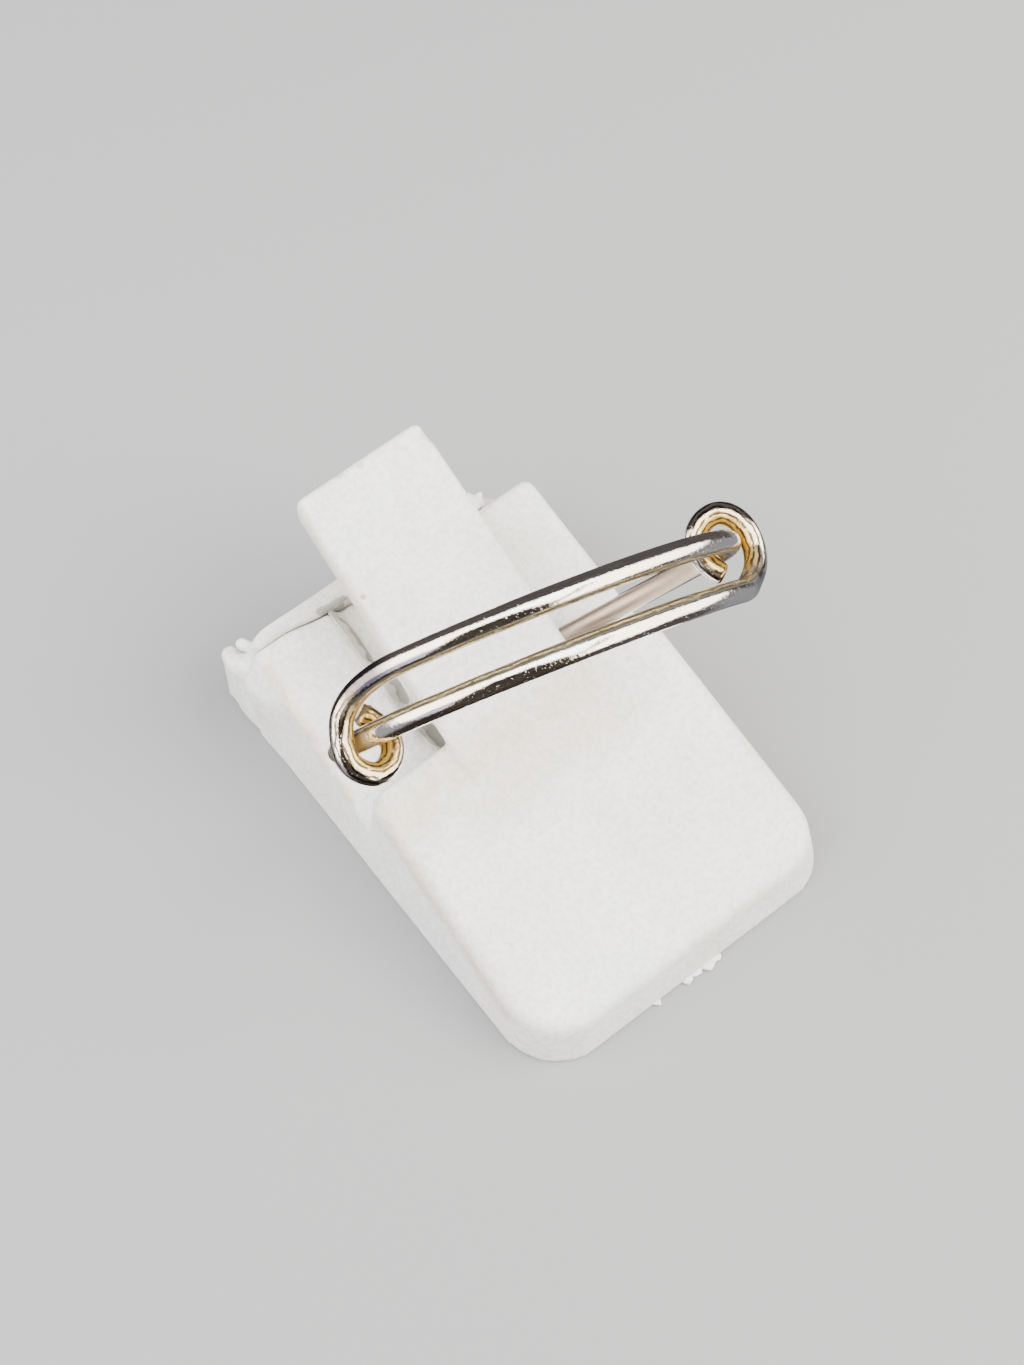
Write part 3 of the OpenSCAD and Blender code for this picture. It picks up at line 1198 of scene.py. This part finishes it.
@dataclass
class Shell(Moulding):
    """The white front of the stand: wedge face, ears and clip tongue."""

    node: str = "stand_shell"
    name: str = "stand_front"
    flash: tuple[Burr, ...] = (
        Burr((-2.2, -12.95, 0.10), (0.22, 0.22, 0.10)),
        Burr((-0.35, -12.95, 0.10), (0.30, 0.28, 0.12)),
        Burr((0.25, -12.90, 0.10), (0.34, 0.26, 0.12)),
        Burr((0.95, -12.93, 0.12), (0.42, 0.36, 0.13)),
        Burr((1.45, -12.90, 0.10), (0.26, 0.26, 0.11)),
    )
    # Warm painted shade: along the left edges of the ear and the face, and below the step and the tongue's
    # root.
    warm_shades: tuple[ShadeLine, ...] = (
        ShadeLine(0.6, 0.9, ((-7.96, 9.93, 6.65), (-8.2, 6.4, 5.5), (-8.44, 2.85, 4.34))),
        ShadeLine(1.0, 0.75, ((-8.15, -0.6, 5.9), (-8.65, -6.5, 3.8), (-8.8, -9.5, 2.7))),
        ShadeLine(2.6, 0.6, ((-8.0, -0.1, 6.8), (3.5, -0.1, 6.8))),
        ShadeLine(2.6, 0.5, ((-3.6, -1.8, 6.2), (3.0, -1.8, 6.2))),
    )
    # Painted shadow lines along the recess's left edge, under the tongue's left side, along the step's top
    # edge and by the seam.
    crease_shadow: tuple[ShadeLine, ...] = (
        ShadeLine(
            0.42,
            1.0,
            (
                (-3.62, 10.2, 5.7), (-3.5, 9.8, 5.42), (-3.45, 9.2, 5.3),
                (-3.55, 8.0, 4.95), (-3.62, 7.5, 4.76),
            ),
            0.2,
        ),
        ShadeLine(0.45, 1.0, ((-3.2, 6.6, 4.45), (-3.12, 6.3, 4.39), (-3.26, 5.5, 4.14)), 0.2),
        ShadeLine(0.40, 1.0, ((-3.35, 4.3, 3.8), (-3.57, 3.5, 3.55), (-3.3, 2.9, 3.4)), 0.2),
        ShadeLine(0.60, 1.3, ((-2.7, 4.0, 3.65), (-3.0, 3.4, 3.5), (-3.3, 2.6, 3.3)), 0.2),
        ShadeLine(0.30, 0.9, ((-3.7, 1.5, 7.0), (-5.4, 1.5, 7.0)), 0.2),
        ShadeLine(0.35, 1.0, ((-3.9, 10.5, 6.3), (-3.9, 10.4, 5.7)), 0.2),
    )
    root: tuple[float, float] = (-1.4, 6.26)
    root_half: float = 4.6
    root_reach: float = 1.0
    root_rounds: int = 14
    face: Slope = Slope(-1.4, 6.45, 0.298)
    ear: Slope = Slope(9.93, 6.68, 0.298)
    tongue: Slope = Slope(-1.4, 6.26, 0.543)
    wall_x: Fade = (-3.97, -2.6)
    wall_y: Fade = (1.5, 10.6)
    wall_foot: float = -4.05
    wall_lip: float = 0.1
    wall_drop: float = 1.25
    fillet: float = 0.55
    fillet_least: float = 0.25
    fillet_rough: float = 0.8
    fillet_pitch: float = 1.7
    fillet_row: float = 3.0
    notch_x: Fade = (-4.2, -3.0)
    notch_y: Fade = (1.3, 4.4)
    notch: Zone = Zone(x=((-3.1, -3.6),), y=((4.2, 1.8),))
    notch_below: Fade = (0.2, 0.9)
    notch_depth: float = 0.42
    side: Zone = Zone(x=((-7.6, -8.3),), y=((7.4, 10.3),), z=((6.5, 4.9),))
    side_foot: float = 0.1
    side_flare: float = 0.58
    side_climb: Fade = (0.3, 4.7)
    nip_at: Triple = (3.5, 12.15, 13.4)
    nip_fade: Fade = (0.55, 0.15)
    nip_depth: float = 0.14
    # Warm painted shade on the tongue's left side, which faces away from the light.
    cheek_shade: float = 0.45
    cheek_facing: Fade = (0.2, 0.7)
    cheek_above: Fade = (0.2, 0.7)
    cheek: Zone = Zone(x=((-6.0, -5.0),))

    def shape(self, bm: bmesh.types.BMesh) -> None:
        """Blends the tongue into the face, rakes the recess's wall and flares the left side.

        Args:
            bm: The shell's skin.
        """
        y, z = self.root
        near = [
            v
            for v in bm.verts
            if abs(v.co.x) < self.root_half and math.hypot(v.co.y - y, v.co.z - z) < self.root_reach
        ]
        self.smooth(bm, near, self.root_rounds)
        nip_at = Vector(self.nip_at)
        for v in bm.verts:
            self.rake(v.co)
            v.co.x -= self.flare(v.co)
            v.co.y += self.seam.shift(v.co)
            v.co.x += self.undercut(v.co)
            v.co.x -= self.nip_depth * rise((v.co - nip_at).length, *self.nip_fade)

    def rake(self, at: Vector) -> None:
        """Raises the left edge of the recess's floor into a ragged slope.

        Args:
            at: A corner's place, which is moved up.
        """
        ear = self.ear.height(at.y)
        if not (within(at.x, self.wall_x) and within(at.y, self.wall_y)) or at.z > ear - self.wall_lip:
            return
        ragged = noise.noise(Vector((0.0, at.y * self.fillet_pitch, self.fillet_row)))
        width = self.fillet * (1.0 + self.fillet_rough * ragged)
        top = self.wall_foot + width + self.fillet_least
        at.z = max(at.z, ear - self.wall_drop * rise(at.x, self.wall_foot, top))

    def undercut(self, at: Vector) -> float:
        """Returns how far the tongue's left side is cut back low down by the step.

        Args:
            at: A corner's place.

        Returns:
            The distance that it moves to the right.
        """
        if not (within(at.x, self.notch_x) and within(at.y, self.notch_y)):
            return 0.0
        top = self.tongue.height(at.y)
        low = rise(at.z, *(top - below for below in self.notch_below))
        return self.notch_depth * self.notch.share(at) * low

    def flare(self, at: Vector) -> float:
        """Returns how far the left side stands out towards the back piece's corner."""
        height = self.side_foot + self.side_flare * rise(at.z, *self.side_climb)
        return height * self.side.share(at)

    def warm_shade_at(self, v: bmesh.types.BMVert) -> float:
        """Returns the warm painted shade on the tongue's left side, which faces away from the light.

        Args:
            v: A corner.

        Returns:
            Its share of warm painted shade.
        """
        face = self.face.height(v.co.y)
        above = rise(v.co.z, *(face + clear for clear in self.cheek_above))
        return self.cheek_shade * rise(-v.normal.x, *self.cheek_facing) * above * self.cheek.share(v.co)


@dataclass
class Base(Moulding):
    """The piece that closes the stand behind and below."""

    node: str = "stand_base"
    name: str = "stand_back"
    grain: float = 0.17
    lumps: tuple[Lump, ...] = (
        Lump((-8.10, 12.0, 5.90), 0.40),
        Lump((-7.75, 11.6, 5.75), 0.34),
        Lump((5.9, 11.36, 6.2), 0.22),
    )
    posts: tuple[Post, ...] = (
        Post((-8.74, 12.54, 0.02), (-8.60, 12.44, 5.02), 0.46),
        Post((-8.82, 11.3, 0.02), (-8.70, 11.7, 4.75), 0.46),
    )
    # Painted shadow lines in the crease by the seam, behind the tongue.
    crease_shadow: tuple[ShadeLine, ...] = (
        ShadeLine(0.40, 1.0, ((-3.0, 10.6, 6.7), (-3.8, 10.65, 6.7), (-4.3, 10.7, 6.75)), 0.2),
        ShadeLine(0.45, 1.0, ((-3.1, 10.7, 5.9), (-3.8, 10.7, 5.7)), 0.2),
    )
    corner: Triple = (-8.7, 11.9, 4.4)
    corner_top: float = 6.4
    corner_reach: float = 2.0
    corner_rounds: int = 4
    corner_foot_rounds: int = 12
    seam_reach: float = 0.3
    lip: Zone = Zone(x=((-8.15, -8.75),), y=((11.5, 10.8),), z=((5.6, 5.0),))
    lip_out: float = 0.7
    rim: Zone = Zone(x=((-8.05, -6.9),), y=((10.9, 11.3),), z=((6.3, 6.8),))
    rim_back: float = 0.16
    rim_up: float = 0.11

    def shape(self, bm: bmesh.types.BMesh) -> None:
        """Softens the left back corner, closes the seam and bends the rim back.

        Args:
            bm: The back piece's skin.
        """
        self.soften_corner(bm)
        self.close_seam(bm)
        for v in bm.verts:
            v.co.y += self.seam.shift(v.co)
            v.co.y -= self.lip_out * self.lip.share(v.co)
            rim = self.rim.share(v.co)
            v.co.y += self.rim_back * rim
            v.co.z += self.rim_up * rim

    def soften_corner(self, bm: bmesh.types.BMesh) -> None:
        """Relaxes the left back corner, and most of all its foot.

        Args:
            bm: The back piece's skin.
        """
        corner = Vector(self.corner)
        near = [
            v
            for v in bm.verts
            if (v.co - corner).xy.length < self.corner_reach and v.co.z < self.corner_top
        ]
        self.smooth(bm, near, self.corner_rounds)
        self.smooth(bm, [v for v in near if v.co.z < corner.z], self.corner_foot_rounds)

    def close_seam(self, bm: bmesh.types.BMesh) -> None:
        """Draws the skin up to the shell until the seam has its width.

        Args:
            bm: The back piece's skin.
        """
        shell = bmesh.new()
        shell.from_mesh(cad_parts["stand_shell"].data)
        bmesh.ops.scale(shell, vec=(1 / MM,) * 3, verts=shell.verts)
        walls = BVHTree.FromBMesh(shell)
        shell.free()
        for v in bm.verts:
            place, _, _, gap = walls.find_nearest(v.co, self.seam_reach)
            if place is None:
                continue
            wanted = self.seam.width(v.co)
            if gap > wanted:
                v.co = place + (v.co - place) * (wanted / gap)


# Surroundings


def aim(azimuth: float, elevation: float) -> Vector:
    """Returns the unit direction at an azimuth and an elevation in degrees."""
    a, e = math.radians(azimuth), math.radians(elevation)
    return Vector((math.sin(a) * math.cos(e), -math.cos(a) * math.cos(e), math.sin(e)))


@dataclass(frozen=True)
class Patch:
    """A soft-edged part of the surroundings that polished metal mirrors. Sizes are degrees."""

    colour: Triple
    edge: float
    fleck: Triple | None = field(default=None, kw_only=True)
    flecks: Grain = field(default=Grain(14.0, 4.0, 0.7), kw_only=True)

    def tone(self, graph: Graph, towards: Socket) -> Tone:
        """Returns the patch's colour, with flecks of another where it has them.

        Args:
            graph: The world's graph.
            towards: The direction that is looked in.

        Returns:
            The colour.
        """
        if self.fleck is None:
            return self.colour
        return graph.colour(self.colour, self.fleck, graph.grain(towards, self.flecks).ramp(0.5, 0.68))

    def mask(self, graph: Graph, towards: Socket) -> Value:
        """Returns 1 inside the patch and 0 outside it. Each kind has its own."""
        raise NotImplementedError

    def around(self, graph: Graph, towards: Socket, pole: Vector, reach: float) -> Value:
        """Returns 1 where a direction is nearer to a pole than the reach, and 0 outside."""
        outer, inner = (math.cos(math.radians(reach + side * self.edge)) for side in (1, -1))
        return graph.dot(towards, tuple(pole)).ramp(outer, inner)


@dataclass(frozen=True)
class Disc(Patch):
    """A round patch."""

    azimuth: float
    elevation: float
    reach: float

    def mask(self, graph: Graph, towards: Socket) -> Value:
        """Returns the mask of a round patch."""
        return self.around(graph, towards, aim(self.azimuth, self.elevation), self.reach)


@dataclass(frozen=True)
class Panel(Patch):
    """A patch with upright sides, which stands from a low to a high elevation."""

    azimuth: float
    reach: float
    low: float
    high: float

    def mask(self, graph: Graph, towards: Socket) -> Value:
        """Returns the mask of an upright patch.

        Args:
            graph: The world's graph.
            towards: The direction that is looked in.

        Returns:
            The mask.
        """
        flat = graph.node(
            "ShaderNodeVectorMath",
            {"operation": "NORMALIZE"},
            {0: graph.stretch(towards, (1.0, 1.0, 0.0))},
        ).outputs[0]
        height = graph.parts(towards)[2]
        below, above = (
            height.ramp(*(math.sin(math.radians(limit + side * self.edge)) for side in sides))
            for limit, sides in ((self.low, (-1, 1)), (self.high, (1, -1)))
        )
        return self.around(graph, flat, aim(self.azimuth, 0.0), self.reach) * below * above


@dataclass(frozen=True)
class Card(Patch):
    """A patch with straight sides between its corners, which are directions."""

    corners: tuple[tuple[float, float], ...]

    def mask(self, graph: Graph, towards: Socket) -> Value:
        """Returns the mask of a card, which is what lies within all of its sides.

        Args:
            graph: The world's graph.
            towards: The direction that is looked in.

        Returns:
            The mask.
        """
        corners = [aim(*corner) for corner in self.corners]
        middle = sum(corners, Vector())
        inside = None
        for a, b in zip(corners, corners[1:] + corners[:1]):
            pole = a.cross(b).normalized()
            side = self.around(graph, towards, pole if pole.dot(middle) > 0 else -pole, 90.0)
            inside = side if inside is None else inside * side
        return inside


@dataclass(frozen=True)
class Rod(Patch):
    """A thin straight patch from one direction to another."""

    start: tuple[float, float]
    end: tuple[float, float]
    half: float

    def mask(self, graph: Graph, towards: Socket) -> Value:
        """Returns the mask of a rod.

        Args:
            graph: The world's graph.
            towards: The direction that is looked in.

        Returns:
            The mask.
        """
        a, b = aim(*self.start), aim(*self.end)
        off = graph.dot(towards, tuple(a.cross(b).normalized())).size()
        outer, inner = (math.sin(math.radians(self.half + share * self.edge)) for share in (1, 0))
        along = self.around(graph, towards, (a + b).normalized(), math.degrees(a.angle(b)) / 2)
        return off.ramp(outer, inner) * along


@dataclass(frozen=True)
class Lamp:
    """A soft square light that faces the stand, with its place and side in millimetres."""

    name: str
    place: Triple
    size: float
    power: float
    colour: Triple

    def build(self) -> None:
        """Hangs the light, unseen by the camera and by the metal."""
        data = bpy.data.lights.new(self.name, "AREA")
        data.shape = "SQUARE"
        data.size = self.size * MM
        data.energy = self.power
        data.color = self.colour
        lamp = bpy.data.objects.new(self.name, data)
        lamp.location = Vector(self.place) * MM
        lamp.rotation_euler = (-Vector(self.place)).to_track_quat("-Z", "Y").to_euler()
        lamp.visible_glossy = False
        lamp.visible_camera = False
        bpy.context.scene.collection.objects.link(lamp)


@dataclass(frozen=True)
class Camera:
    """The camera at the photograph's viewing angle."""

    place: Triple = (-26.949, -33.53, 108.096)
    turn: Triple = (24.0, 0.0, -37.834)
    lens: float = 61.70
    sensor: float = 36.0
    sight: Fade = (0.002, 20.0)

    def build(self) -> None:
        """Places the camera and looks through it."""
        data = bpy.data.cameras.new("camera")
        data.sensor_width = self.sensor
        data.lens = self.lens
        data.clip_start, data.clip_end = self.sight
        camera = bpy.data.objects.new("camera", data)
        camera.location = tuple(c * MM for c in self.place)
        camera.rotation_euler = Euler([math.radians(a) for a in self.turn], "XYZ")
        bpy.context.scene.collection.objects.link(camera)
        bpy.context.scene.camera = camera


@dataclass(frozen=True)
class Studio:
    """Pale floor, soft light, and what the metal mirrors."""

    floor_size: float = 4.0
    floor_drop: float = 0.00002
    zenith: Triple = (6.9, 7.0, 7.2)
    wall: Triple = (6.6, 5.9, 4.9)
    ground: Triple = (0.095, 0.08, 0.08)
    zenith_fade: Fade = (0.75, 0.97)
    horizon_fade: Fade = (-0.12, 0.06)
    ambient: Triple = (0.92, 0.925, 0.94)
    backdrop: Triple = (0.62, 0.62, 0.61)
    lamps: tuple[Lamp, ...] = (
        Lamp("window", (110, -90, 160), 190, 1.35, (1.0, 0.98, 0.95)),
        Lamp("fill", (-120, 30, 150), 200, 0.95, (0.95, 0.97, 1.0)),
    )
    patches: tuple[Patch, ...] = (
        Panel((6.2, 5.6, 4.8), edge=5, azimuth=78, reach=36, low=-11, high=6),
        Panel((0.045, 0.034, 0.03), edge=8, azimuth=-35, reach=32, low=-89, high=-4),
        Disc((1.0, 1.0, 1.3), edge=8, azimuth=-72, elevation=8, reach=13),
        Panel((0.42, 0.42, 0.46), edge=10, azimuth=-112, reach=36, low=-70, high=-3),
        Panel((0.33, 0.33, 0.36), edge=10, azimuth=84, reach=38, low=-75, high=-17),
        Panel((0.085, 0.073, 0.076), edge=5, azimuth=156, reach=62, low=-40, high=8),
        Disc(
            (0.085, 0.073, 0.076), edge=4, azimuth=153, elevation=14, reach=62, fleck=(0.22, 0.21, 0.19)
        ),
        Card(
            (0.045, 0.033, 0.028),
            edge=3.5,
            corners=(
                (-40, -40), (-62, 2), (-76, 28), (-90, 46), (-88, 58), (-50, 66),
                (-17, 54), (-6, 38), (-5, 30), (-5, -12), (-20, -40),
            ),
            fleck=(0.24, 0.23, 0.19),
        ),
        Rod((0.4, 0.36, 0.3), edge=1.5, start=(-6, 22), end=(48, 62), half=2.2),
    )

    def build(self) -> None:
        """Builds the floor, the lights and the surroundings."""
        self.floor()
        self.world()
        for lamp in self.lamps:
            lamp.build()

    def floor(self) -> None:
        """Makes the pale floor, which the metal doesn't mirror."""
        bm = bmesh.new()
        bmesh.ops.create_grid(bm, x_segments=2, y_segments=2, size=self.floor_size / 2)
        bmesh.ops.translate(bm, vec=(0, 0, -self.floor_drop), verts=bm.verts)
        mesh = bpy.data.meshes.new("floor")
        bm.to_mesh(mesh)
        bm.free()
        mesh.materials.append(FloorPaper().material())
        floor = bpy.data.objects.new("floor", mesh)
        floor.visible_glossy = False
        bpy.context.scene.collection.objects.link(floor)

    def world(self) -> None:
        """Paints what the metal mirrors, and an even light for all else."""
        world = bpy.data.worlds.new("studio")
        world.use_nodes = True
        bpy.context.scene.world = world
        graph = Graph(world.node_tree)
        towards = graph.node("ShaderNodeTexCoord", {}, {}).outputs["Generated"]
        height = graph.parts(towards)[2]
        upper = graph.colour(self.wall, self.zenith, height.ramp(*self.zenith_fade))
        mirrored = graph.colour(self.ground, upper, height.ramp(*self.horizon_fade))
        for patch in self.patches:
            mirrored = graph.colour(mirrored, patch.tone(graph, towards), patch.mask(graph, towards))
        rays = graph.node("ShaderNodeLightPath", {}, {}).outputs
        seen = graph.colour(self.ambient, self.backdrop, rays["Is Camera Ray"])
        colour = graph.colour(seen, mirrored, rays["Is Glossy Ray"])
        back = graph.node("ShaderNodeBackground", {}, {"Color": colour, "Strength": 1.0})
        graph.node("ShaderNodeOutputWorld", {}, {"Surface": back.outputs[0]})


def main() -> None:
    """Builds the surroundings, the stand and the ring, and reports each piece."""
    logging.basicConfig(level=logging.INFO, format="%(message)s")
    Camera().build()
    Studio().build()
    silver = PolishedSilver().material()
    plastic = MouldedPlastic().material()
    for maker, finish in ((Wire(), silver), (Shell(), plastic), (Base(), plastic)):
        piece = maker.build(finish)
        log.info("%s: %d faces", piece.name, len(piece.data.polygons))
    bpy.context.view_layer.update()


if __name__ == "__main__":
    main()
